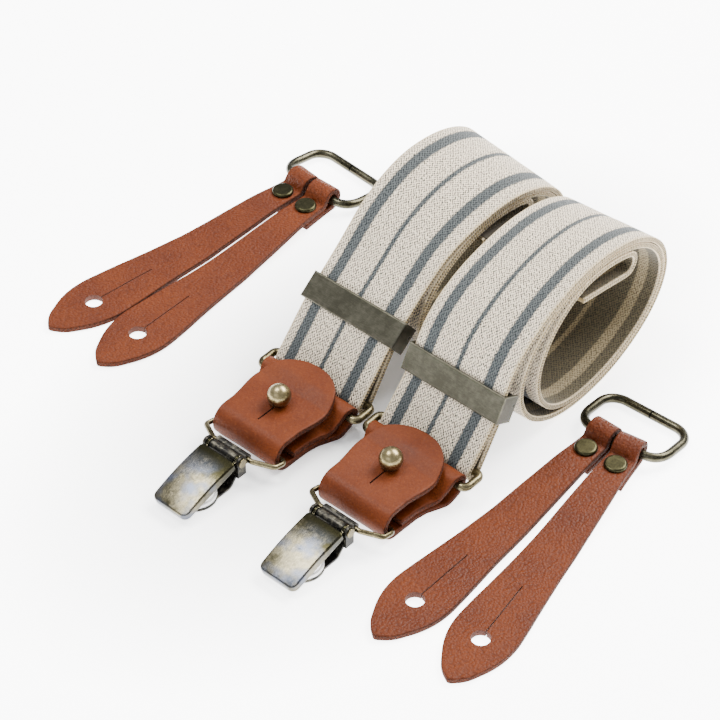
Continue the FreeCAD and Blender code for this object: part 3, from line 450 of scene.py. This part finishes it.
# ---- Paths in the YZ plane ----------------------------------------------------------------------
class Trace:
    """Points with headings along straights and arcs, about STEP millimetres apart."""
    STEP = 0.5

    def __init__(self, at, heading):
        self.at = at
        self.heading = heading
        self.points = [(*at, heading)]

    def add(self, at, heading):
        self.at, self.heading = at, heading
        self.points.append((*at, heading))

    def line(self, length):
        count = max(1, round(length / self.STEP))
        y, z = self.at
        a = math.radians(self.heading)
        for i in range(1, count + 1):
            run = length * i / count
            self.add((y + math.cos(a) * run, z + math.sin(a) * run), self.heading)

    def arc(self, radius, turn):
        side = 1 if turn > 0 else -1
        count = max(3, round(abs(math.radians(turn)) * radius / self.STEP), round(abs(turn) / 8))
        start = self.heading
        a = math.radians(start)
        reach = radius * side
        y, z = self.at[0] - math.sin(a) * reach, self.at[1] + math.cos(a) * reach
        for i in range(1, count + 1):
            heading = start + turn * i / count
            a = math.radians(heading)
            self.add((y + math.sin(a) * reach, z - math.cos(a) * reach), heading)


def clustered(count, power=1.6):
    """Values from -1 to 1 that crowd towards both ends."""
    t = np.linspace(-1, 1, count)
    return np.sign(t) * (1 - (1 - np.abs(t)) ** power)


def lengths(points):
    p = np.array([(y, z) for y, z, _ in points])
    return np.concatenate([[0], np.cumsum(np.linalg.norm(np.diff(p, axis=0), axis=1))])


def ribbon(name, points, half_width, thickness, round_r, centre_x, across, warp, swap=False,
           edge_band=0.35):
    """Closed strip along a path: rounded at its outline, wide as half_width(s), warped by warp().

    Layers: UV "weave" is (along, across) in metres, and the float attributes are edge (1 on the
    outline, 0 from edge_band inwards), side (1 where the two faces meet) and back (1 on the
    right-hand face of the path, or on the left-hand one when swapped).
    """
    s = lengths(points)
    widths = np.array([max(0.02, half_width(v)) for v in s])
    slope = np.gradient(widths, s)
    ks = clustered(across)
    mesh = bmesh.new()
    uv = mesh.loops.layers.uv.new("weave")
    edge = mesh.verts.layers.float.new("edge")
    back = mesh.verts.layers.float.new("back")
    side = mesh.verts.layers.float.new("side")
    grids = []
    info = {}
    for sign in (1, -1):
        grid = []
        for i, (y, z, heading) in enumerate(points):
            a = math.radians(heading)
            normal = Vector((0, -math.sin(a), math.cos(a)))
            row = []
            for k in ks:
                x = k * widths[i]
                inside = (widths[i] - abs(x)) / math.sqrt(1 + slope[i] ** 2)
                inside = min(inside, s[i] + 0.001, s[-1] - s[i] + 0.001)
                dip = max(0.0, 1 - inside / round_r)
                height = thickness / 2 - round_r + round_r * math.sqrt(max(0.0, 1 - dip * dip))
                at = Vector((centre_x + x, y, z)) + normal * (height * sign)
                at = warp(at, x, s[i], normal)
                vert = mesh.verts.new(place(at))
                vert[edge] = max(0.0, min(1.0, 1 - inside / edge_band))
                vert[back] = 1.0 if (sign < 0) != swap else 0.0
                vert[side] = 1.0 if inside < 0.01 else 0.0
                info[vert] = (s[i] * MM, (x + STRAP_WIDTH / 2) * MM)
                row.append(vert)
            grid.append(row)
        grids.append(grid)
    top, bottom = grids
    count = len(points)

    def face(*verts):
        made = mesh.faces.new(verts)
        made.smooth = True
        for loop in made.loops:
            loop[uv].uv = info[loop.vert]

    for i in range(count - 1):
        for j in range(across - 1):
            face(top[i][j], top[i][j + 1], top[i + 1][j + 1], top[i + 1][j])
            face(bottom[i][j], bottom[i + 1][j], bottom[i + 1][j + 1], bottom[i][j + 1])
        face(top[i][0], top[i + 1][0], bottom[i + 1][0], bottom[i][0])
        face(top[i][-1], bottom[i][-1], bottom[i + 1][-1], top[i + 1][-1])
    for j in range(across - 1):
        face(top[0][j], bottom[0][j], bottom[0][j + 1], top[0][j + 1])
        face(top[-1][j], top[-1][j + 1], bottom[-1][j + 1], bottom[-1][j])
    bmesh.ops.recalc_face_normals(mesh, faces=mesh.faces)
    data = bpy.data.meshes.new(name)
    mesh.to_mesh(data)
    mesh.free()
    obj = bpy.data.objects.new(name, data)
    bpy.context.scene.collection.objects.link(obj)
    return obj


def smooth_by_angle(obj, degrees=40.0):
    """Smooth shading, with a sharp edge wherever the surface turns by more than this."""
    for polygon in obj.data.polygons:
        polygon.use_smooth = True
    obj.data.set_sharp_from_angle(angle=math.radians(degrees))


def cut_keyhole(obj, centre, radius, slit_end, slit_half, low, high, turn):
    """Cuts a round hole and the slit that runs from it to slit_end, through z from low to high."""
    at = Matrix.Translation(Vector((centre[0], centre[1], 0))) @ Matrix.Rotation(turn, 4, "Z")
    mouth = math.asin(slit_half / radius)
    outline = [(-slit_half, slit_end), (slit_half, slit_end)]
    steps = 48
    for i in range(steps + 1):
        angle = math.pi / 2 - mouth - (2 * math.pi - 2 * mouth) * i / steps
        outline.append((radius * math.cos(angle), radius * math.sin(angle)))
    mesh = bmesh.new()
    floor_ring = [mesh.verts.new(place(at @ Vector((x, y, low)))) for x, y in outline]
    roof_ring = [mesh.verts.new(place(at @ Vector((x, y, high)))) for x, y in outline]
    mesh.faces.new(floor_ring)
    mesh.faces.new(roof_ring[::-1])
    for i in range(len(outline)):
        j = (i + 1) % len(outline)
        mesh.faces.new((floor_ring[i], roof_ring[i], roof_ring[j], floor_ring[j]))
    bmesh.ops.recalc_face_normals(mesh, faces=mesh.faces)
    data = bpy.data.meshes.new(obj.name + "_keyhole")
    mesh.to_mesh(data)
    mesh.free()
    tool = bpy.data.objects.new(data.name, data)
    bpy.context.scene.collection.objects.link(tool)
    data.materials.append(MATERIALS["cut"])
    change = obj.modifiers.new("cut", "BOOLEAN")
    change.operation = "DIFFERENCE"
    change.solver = "EXACT"
    change.material_mode = "TRANSFER"
    change.object = tool
    apply_modifiers(obj)
    bpy.data.objects.remove(tool)


def apply_modifiers(obj):
    """Puts the result of the object's modifiers in its mesh."""
    depsgraph = bpy.context.evaluated_depsgraph_get()
    made = bpy.data.meshes.new_from_object(obj.evaluated_get(depsgraph), preserve_all_data_layers=True,
                                           depsgraph=depsgraph)
    obj.modifiers.clear()
    obj.data = made


def lumps(at, scale, seed):
    """Soft smooth noise about zero at a layout point."""
    return noise.noise(Vector((at.x * scale + seed, at.y * scale, at.z * scale)))


# ---- Straps -------------------------------------------------------------------------------------
class Roll:
    """The strap's spiral, as the CAD part has it: angles fall as it winds in, 0 at the rear."""
    SHEAR = 0.1
    START = 150.0
    END = 60.0 - 2 * 360.0
    FLOOR_GAP = 0.05

    def __init__(self, side):
        self.side = side
        grown = side["height"] - STRAP_THICK + STRAP_STEP * 5 / 6
        self.half_height = grown / 2
        self.centre_z = STRAP_THICK / 2 + self.half_height - STRAP_STEP * 2 / 3 + self.FLOOR_GAP
        self.start = self.tangent_to_slide()

    def point(self, angle):
        turns = (self.START - angle) / 360
        a = math.radians(angle)
        half = self.side["rear"] - STRAP_STEP * turns
        if math.cos(a) < 0:
            half = self.side["front"] - (STRAP_STEP + self.side["slack"]) * turns
        z = self.centre_z + math.sin(a) * (self.half_height - STRAP_STEP * turns)
        y = self.side["roll_y"] + math.cos(a) * half + self.SHEAR * (z - self.centre_z)
        return y, z

    def heading(self, angle):
        """Degrees from +Y of the way that the strap runs there."""
        (y1, z1), (y0, z0) = self.point(angle - 0.5), self.point(angle + 0.5)
        return math.degrees(math.atan2(z1 - z0, y1 - y0))

    def tangent_to_slide(self):
        """The angle at which the roll's tangent passes through the slide, by halving."""
        slide_y, slide_z = self.side["slide"]
        low, high = 100.0, 178.0
        for _ in range(50):
            middle = (low + high) / 2
            y, z = self.point(middle)
            sight = math.degrees(math.atan2(z - slide_z, y - slide_y))
            if sight > self.heading(middle):
                low = middle
            else:
                high = middle
        return middle


# Middle of the ring's rear wire, how far the slide reaches in front of its own middle, and how much of
# the run the bend there takes up.
RING_Y, RING_Z = -19.5, 7.0
SLIDE_FRONT = 5.0
SLIDE_BEND = 2.0
HAIRPIN_TURN = -168.0
ROLL_STEPS = 560


def strap_trace(side):
    """Tail behind the slide, round the ring, through the slide, round the roll, hairpin and end.

    Returns the path, and the length of its run from the ring to the slide.
    """
    roll = Roll(side)
    slope = roll.heading(roll.start)
    wrap_r = WIRE_AND_PLAY + STRAP_THICK / 2
    a = math.radians(slope)
    leave = (side["slide"][0] - math.cos(a) * SLIDE_FRONT, side["slide"][1] - math.sin(a) * SLIDE_FRONT)
    dy, dz = leave[0] - RING_Y, leave[1] - RING_Z
    rise = math.degrees(math.atan2(dz, dy) - math.asin(wrap_r / math.hypot(dy, dz)))
    b = math.radians(rise)
    top = (RING_Y - math.sin(b) * wrap_r, RING_Z + math.cos(b) * wrap_r)
    run = math.dist(leave, top)
    pinch = math.degrees(math.atan2(2 * wrap_r - STRAP_THICK - LAYER_GAP, run))
    p = math.radians(rise + pinch)
    wrap_end = (RING_Y + math.sin(p) * wrap_r, RING_Z - math.cos(p) * wrap_r)
    trace = Trace((wrap_end[0] + math.cos(p) * run, wrap_end[1] + math.sin(p) * run), rise + 180 + pinch)
    trace.line(run)
    trace.arc(wrap_r, -180 - pinch)
    trace.line(run - SLIDE_BEND)
    bend = slope - trace.heading
    trace.arc(SLIDE_BEND / math.tan(math.radians(abs(bend) / 2)), bend)
    trace.line(math.dist(roll.point(roll.start), trace.at))
    for i in range(1, ROLL_STEPS + 1):
        angle = roll.start + (roll.END - roll.start) * i / ROLL_STEPS
        heading = roll.heading(angle)
        while heading - trace.heading > 180:
            heading -= 360
        while heading - trace.heading < -180:
            heading += 360
        trace.add(roll.point(angle), heading)
    trace.arc(side["hairpin"], HAIRPIN_TURN)
    trace.line(TAIL_LENGTH)
    return trace, run


def make_strap(name, side):
    trace, run = strap_trace(side)
    half = STRAP_WIDTH / 2
    ring_wrap = 8.0
    past_slide = run * 2 + ring_wrap
    settles_after, settles_over = 12.0, 45.0
    full_height, turn_length = 50.0, 200.0

    def warp(at, x, s, normal):
        """Each roll leans a little, and its turns are not quite flush."""
        into = max(0.0, min(1.0, (s - past_slide - settles_after) / settles_over))
        lean = into * into * (3 - 2 * into) * max(0.0, at.z) / full_height
        at.z -= side["tilt"] * lean * x / STRAP_WIDTH
        turns = max(0.0, s - past_slide) / turn_length
        fan = side["fan"] * math.sin(2.1 * turns * math.pi + side["x"])
        at.x += (fan - side["sink"] * min(turns, 2.0)) * into
        at += normal * (0.10 * lumps(at, 0.11, side["x"]) * into)
        at.z = max(at.z, LOWEST)
        return at

    obj = ribbon("elastic_" + name, trace.points, lambda s: half, STRAP_THICK, round_r=0.4,
                 centre_x=side["x"], across=25, warp=warp, edge_band=0.5)
    obj.data.materials.append(MATERIALS["elastic"])
    smooth_by_angle(obj, 55)
    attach(obj, "webbing")
    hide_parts("strap_" + name)


# ---- Leather tabs -------------------------------------------------------------------------------
# The ring's front wire, the front fold's centre and radius, the slopes down from the ring with the
# radii that ease them, and the tongue: its end, the radius of its outline, its flat run and its lift.
RING_FRONT_Y = -27.0
FOLD_Y, FOLD_R = -50.0, 4.7
BOTTOM_Z = LEATHER / 2
INNER_Z = BOTTOM_Z + LEATHER + LAYER_GAP
INNER_END_Y = -47.5
CLIMB_DEG, CLIMB_EASE = 50.0, 3.5
DROP_DEG, DROP_EASE = 40.0, 4.0
TONGUE_END_Y, TONGUE_R = -21.2, 14.3
TONGUE_FLAT = 15.5
TONGUE_LIFT, LIFT_DEG, LIFT_EASE = 1.9, 20.0, 6.0


def tab_trace():
    """Hidden stud layer, ring fold, bottom layer, front fold, tongue.

    Returns the path, and the length at which the tongue starts.
    """
    wrap_r = WIRE_AND_PLAY + LEATHER / 2
    climb, drop, lift = math.radians(CLIMB_DEG), math.radians(DROP_DEG), math.radians(LIFT_DEG)
    start = (RING_FRONT_Y - math.sin(climb) * wrap_r, RING_Z + math.cos(climb) * wrap_r)
    climb_line = (start[1] - INNER_Z - CLIMB_EASE * (1 - math.cos(climb))) / math.sin(climb)
    flat_end = start[0] - math.cos(climb) * climb_line - CLIMB_EASE * math.sin(climb)
    end = (RING_FRONT_Y + math.sin(drop) * wrap_r, RING_Z - math.cos(drop) * wrap_r)
    drop_line = (end[1] - BOTTOM_Z - DROP_EASE * (1 - math.cos(drop))) / math.sin(drop)
    bottom_start = end[0] - math.cos(drop) * drop_line - DROP_EASE * math.sin(drop)
    trace = Trace((INNER_END_Y, INNER_Z), 0.0)
    trace.line(flat_end - INNER_END_Y)
    trace.arc(CLIMB_EASE, CLIMB_DEG)
    trace.line(climb_line)
    trace.arc(wrap_r, DROP_DEG - CLIMB_DEG - 180.0)
    trace.line(drop_line)
    trace.arc(DROP_EASE, -DROP_DEG)
    trace.line(bottom_start - FOLD_Y)
    trace.arc(FOLD_R, -180.0)
    fold_end = lengths(trace.points)[-1]
    trace.line(TONGUE_FLAT)
    trace.arc(LIFT_EASE, LIFT_DEG)
    trace.line((TONGUE_LIFT - 2 * LIFT_EASE * (1 - math.cos(lift))) / math.sin(lift))
    trace.arc(LIFT_EASE, -LIFT_DEG)
    trace.line(TONGUE_END_Y - trace.at[0])
    return trace, fold_end


def tab_half_width(trace, fold_end):
    """Half width along the tab: flared at the ring, 26 mm at the front, round at the tongue's end."""
    s_all = lengths(trace.points)
    ys = np.array([p[0] for p in trace.points])
    flare_y = [-60.0, -46.0, -41.0, -37.0, -33.5, -30.5, -27.0, -20.0]
    flare_w = [13.0, 13.0, 13.15, 13.9, 15.4, 16.7, 17.6, 17.8]
    front_half = 13.0
    round_y = TONGUE_END_Y - TONGUE_R

    def width(s):
        y = float(np.interp(s, s_all, ys))
        if s < fold_end:
            return float(np.interp(y, flare_y, flare_w))
        if y > round_y:
            return math.sqrt(max(0.0, TONGUE_R ** 2 - (y - round_y) ** 2))
        into = max(0.0, min(1.0, (y + 47.0) / 11.0))
        return front_half + (TONGUE_R - front_half) * into * into * (3 - 2 * into)

    return width


def crowd_end(trace, radius):
    """Adds rows towards the rounded end so that its outline stays smooth."""
    s = lengths(trace.points)
    points = np.array(trace.points)
    keep = s < s[-1] - radius
    extra = s[-1] - radius * np.cos(np.linspace(0, math.pi / 2, 34))
    rows = np.array([[np.interp(v, s, points[:, k]) for k in range(3)] for v in extra])
    return [tuple(p) for p in points[keep]] + [tuple(p) for p in rows]


def make_tab(name, side):
    trace, fold_end = tab_trace()
    width = tab_half_width(trace, fold_end)
    points = crowd_end(trace, TONGUE_R)
    stud = Vector((side["x"], side["stud_y"], 0))

    def warp(at, x, s, normal):
        """The tongue is drawn down at its stud and curls up a little at its rim."""
        if s > fold_end and at.y > FOLD_Y + 4:
            off = (Vector((at.x, at.y, 0)) - stud).length
            at.z += 0.0035 * max(0.0, off - 5.0) ** 1.6
        at += normal * (0.16 * lumps(at, 0.13, side["x"]))
        at.z = max(at.z, LOWEST)
        return at

    obj = ribbon("leather_tab_" + name, points, width, LEATHER, round_r=0.42, centre_x=side["x"],
                 across=41, warp=warp)
    obj.data.materials.append(MATERIALS["tab"])
    cut_keyhole(obj, (side["x"], side["stud_y"]), radius=2.2, slit_end=9.5, slit_half=0.28, low=7.6,
                high=16.0, turn=math.pi)
    smooth_by_angle(obj)
    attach(obj, "tab_" + name)
    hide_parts("tab_" + name)


# ---- Button loops -------------------------------------------------------------------------------
# Distances from the tip to the bar of the D-ring, the hole, the slit's end and the short end, then the
# slopes of the long leather with the radii that ease them.
WRAP_R = SPARE_WIRE_R + SPARE_WIRE_PLAY + LOOP_LEATHER / 2
BAR_AT = LOOP_LENGTH - WRAP_R - LOOP_LEATHER / 2
HOLE_AT, SLIT_END = 18.2, 41.7
SHORT_END_AT = 92.1
CLOSE_DEG, CLOSE_EASE = 60.0, 1.8
DESCENT_DEG, DESCENT_R = 5.0, 60.0
TIP_GAP = 0.3


def loop_trace():
    """Short end under, fold round the D-ring, down to the short end and over it, then to the tip.

    Y is the distance from the loop's tip.
    """
    low_z = LOOP_LEATHER / 2
    top_z = LOOP_LEATHER * 1.5 + LAYER_GAP
    lean, down = math.radians(CLOSE_DEG), math.radians(DESCENT_DEG)
    close = 2 * WRAP_R - (top_z - low_z)
    trace = Trace((SHORT_END_AT, low_z), 0.0)
    trace.line(BAR_AT - SHORT_END_AT)
    trace.arc(WRAP_R, 180.0 + CLOSE_DEG)
    trace.line((close - (WRAP_R + CLOSE_EASE) * (1 - math.cos(lean))) / math.sin(lean))
    trace.arc(CLOSE_EASE, -CLOSE_DEG)
    trace.line(trace.at[0] - SHORT_END_AT)
    trace.arc(DESCENT_R, DESCENT_DEG)
    trace.line((top_z - low_z - 2 * DESCENT_R * (1 - math.cos(down))) / math.sin(down))
    trace.arc(DESCENT_R, -DESCENT_DEG)
    trace.line(trace.at[0] - TIP_GAP)
    return trace


def make_button_loop(which, side_name, tip_x, tip_y, heading):
    trace = loop_trace()
    s_all = lengths(trace.points)
    ys = np.array([p[0] for p in trace.points])
    table_y = [y for y, _ in LOOP_WIDTHS]
    table_w = smooth_widths(table_y, [w / 2 for _, w in LOOP_WIDTHS])

    def width(s):
        return table_w(float(np.interp(s, s_all, ys)))

    turn = math.radians(heading - 90)
    spin = Matrix.Translation(Vector((tip_x, tip_y, 0))) @ Matrix.Rotation(turn, 4, "Z")

    def warp(at, x, s, normal):
        at += normal * (0.12 * lumps(at, 0.10, tip_x))
        at.z = max(at.z, LOWEST)
        return spin @ at

    end = which + "_" + side_name
    obj = ribbon("leather_loop_" + end, trace.points, width, LOOP_LEATHER, round_r=0.4, centre_x=0.0,
                 across=25, warp=warp, swap=True)
    obj.data.materials.append(MATERIALS["loop"])
    direction = Vector((math.cos(math.radians(heading)), math.sin(math.radians(heading))))
    hole = Vector((tip_x, tip_y)) + direction * HOLE_AT
    cut_keyhole(obj, hole, radius=2.9, slit_end=SLIT_END - HOLE_AT, slit_half=0.2, low=-1.0, high=4.0,
                turn=turn)
    smooth_by_angle(obj)
    body = "button_loop_" + end
    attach(obj, body)
    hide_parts(body)


def smooth_widths(ys, ws):
    """A smooth curve through the widths: cubic between points, with the slopes of their neighbours."""
    ys, ws = np.array(ys), np.array(ws)
    slopes = np.gradient(ws, ys)

    def width(y):
        i = int(np.clip(np.searchsorted(ys, y) - 1, 0, len(ys) - 2))
        h = ys[i + 1] - ys[i]
        t = (y - ys[i]) / h
        a, b = ws[i], ws[i + 1]
        return float(
            a * (2 * t ** 3 - 3 * t ** 2 + 1) + b * (3 * t ** 2 - 2 * t ** 3)
            + h * (slopes[i] * (t ** 3 - 2 * t ** 2 + t) + slopes[i + 1] * (t ** 3 - t ** 2))
        )

    return width


# ---- Pieces carried over from the CAD part ------------------------------------------------------
FINISH_OF = [
    ("slide_clamp", "dark"), ("slide_", "slide"), ("ring_", "wire"), ("spare_ring", "gunmetal"),
    ("stud_", "ball"), ("bail", "wire"), ("clip_frame", "dark"), ("clip_pin", "wire"),
    ("clip_lid", "lid"), ("clip_jaw", "dark"), ("clip_pad", "pad"), ("rivet_", "rivet"),
    ("back_patch", "patch"),
]


def ring_material(node):
    """Gunmetal wire with the dark butt joint in the middle of the ring's far side."""
    middle = middle_of(node)
    g = Graph("wire_" + node, MATERIALS["gunmetal"])
    x, y, _ = g.split(g.where())
    off_middle = g.math("ABSOLUTE", g.math("SUBTRACT", x, middle.x))
    near_joint = g.ramp(off_middle, 0.00034, 0.00024)
    far_half = g.ramp(y, middle.y, middle.y + 0.001)
    colour = g.shader.inputs["Base Color"].links[0].from_socket
    seam = g.math("MULTIPLY", near_joint, far_half)
    return g.finish(Base_Color=g.mix(seam, colour, (0.004, 0.004, 0.003)))


def finish_cad_nodes():
    """Gives each CAD node that stays in view its material, by the start of its name."""
    for node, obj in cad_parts.items():
        for start, finish in FINISH_OF:
            if node.startswith(start):
                material = ring_material(node) if finish == "gunmetal" else MATERIALS[finish]
                obj.data.materials.clear()
                obj.data.materials.append(material)
                break


def make_floor():
    size = 3.0
    mesh = bpy.data.meshes.new("floor")
    corners = [(-size, -size, 0), (size, -size, 0), (size, size, 0), (-size, size, 0)]
    mesh.from_pydata(corners, [], [(0, 1, 2, 3)])
    floor = bpy.data.objects.new("floor", mesh)
    bpy.context.scene.collection.objects.link(floor)
    mesh.materials.append(MATERIALS["floor"])


make_camera()
make_lights()
make_floor()
finish_cad_nodes()
for side_name, side_sizes in SIDES.items():
    make_strap(side_name, side_sizes)
    make_tab(side_name, side_sizes)
for (loop_which, loop_side), (loop_x, loop_y, loop_heading) in LOOPS.items():
    make_button_loop(loop_which, loop_side, loop_x, loop_y, loop_heading)
